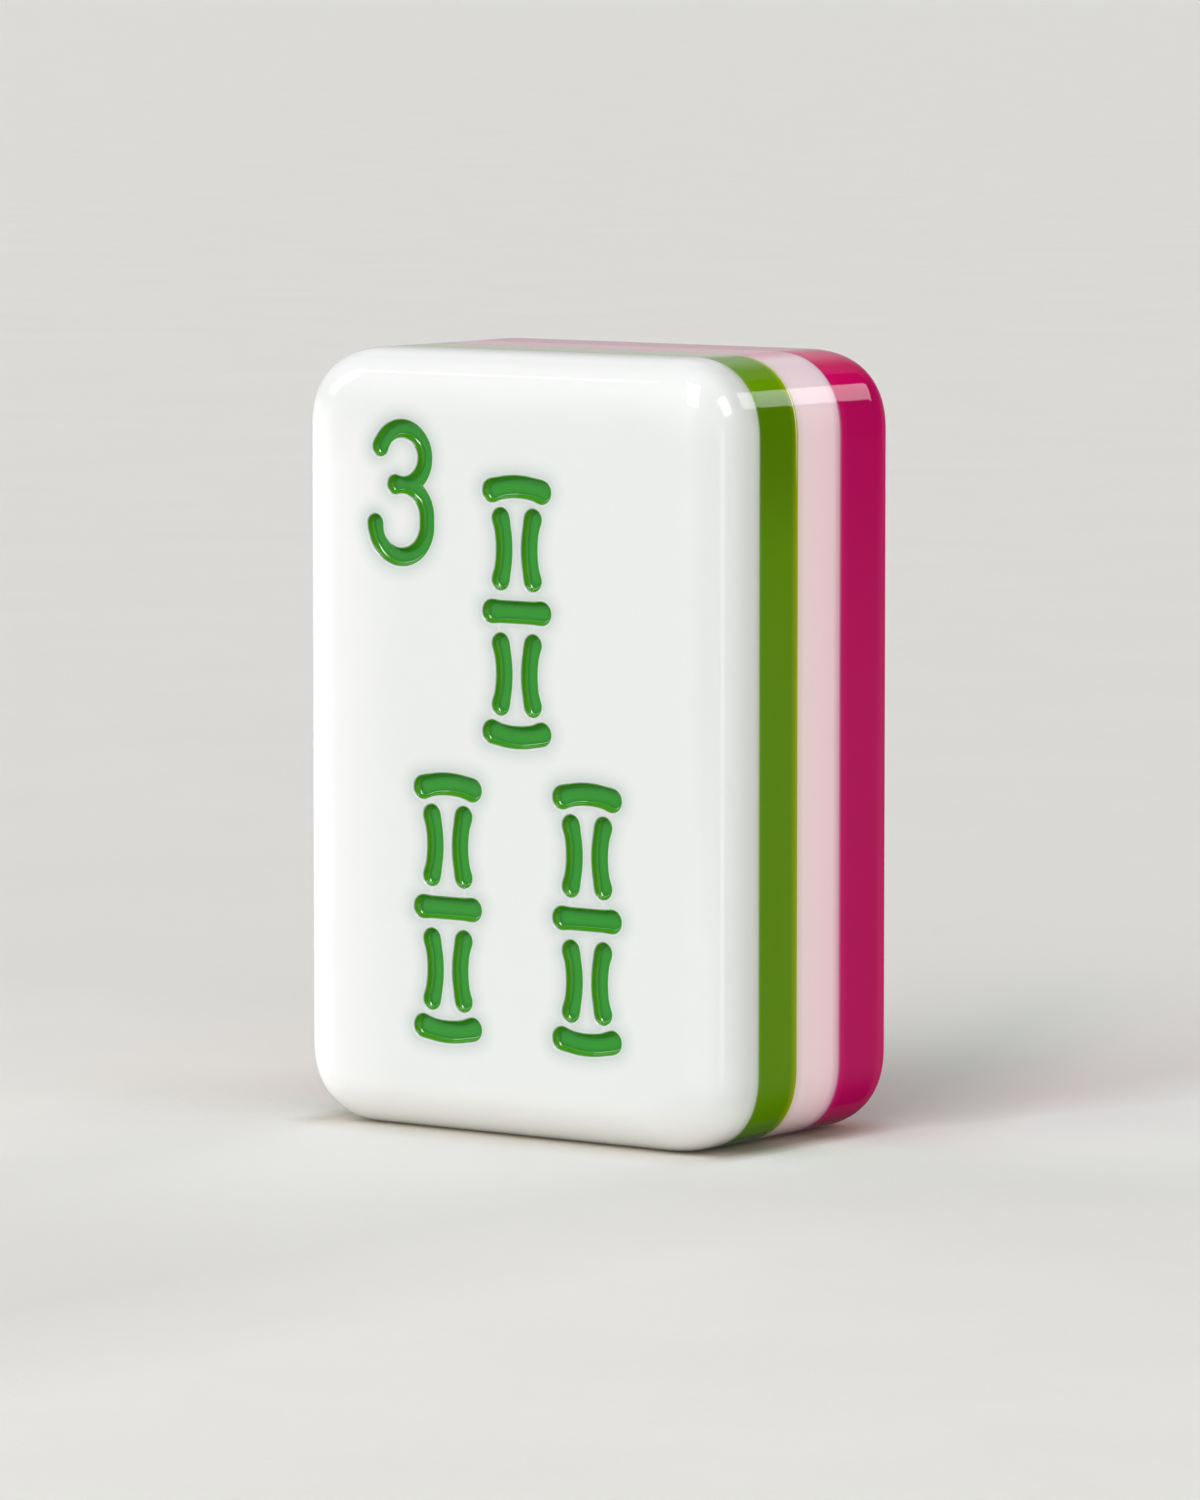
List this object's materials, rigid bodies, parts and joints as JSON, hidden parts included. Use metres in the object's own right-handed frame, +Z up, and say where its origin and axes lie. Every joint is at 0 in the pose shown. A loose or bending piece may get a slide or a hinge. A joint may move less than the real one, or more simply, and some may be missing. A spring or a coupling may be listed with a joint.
{
  "type": "mahjong tile",
  "caption": "Rounded upright game tile of bonded acrylic layers, with an enamelled index numeral and three jointed bamboo rods engraved in its white face.",
  "frame": {"origin": "middle of the underside, on which the tile stands", "axes": "+Z up the tile's height, -Y out of the engraved face, +Y out of the back, +X to the right as the face is read"},
  "size_m": [0.02, 0.013, 0.03],
  "materials": {
    "white_acrylic": "polished milky white acrylic",
    "green_acrylic": "polished olive green acrylic",
    "pink_acrylic": "polished pale pink acrylic",
    "magenta_acrylic": "polished magenta acrylic",
    "cement": "cured clear acrylic cement, faintly cream",
    "green_enamel": "glossy green enamel paint, drawn up at the edges of its grooves"
  },
  "bodies": {
    "root": {"face_layer": "white_acrylic", "face_cement_film": "cement", "green_layer": "green_acrylic", "middle_cement_film": "cement", "pink_layer": "pink_acrylic", "back_cement_film": "cement", "back_layer": "magenta_acrylic", "numeral_enamel": "green_enamel", "top_rod_upper_bar": "green_enamel", "top_rod_upper_cane": "green_enamel", "top_rod_middle_bar": "green_enamel", "top_rod_lower_cane": "green_enamel", "top_rod_lower_bar": "green_enamel", "left_rod_upper_bar": "green_enamel", "left_rod_upper_cane": "green_enamel", "left_rod_middle_bar": "green_enamel", "left_rod_lower_cane": "green_enamel", "left_rod_lower_bar": "green_enamel", "right_rod_upper_bar": "green_enamel", "right_rod_upper_cane": "green_enamel", "right_rod_middle_bar": "green_enamel", "right_rod_lower_cane": "green_enamel", "right_rod_lower_bar": "green_enamel"}
  },
  "joints": []
}
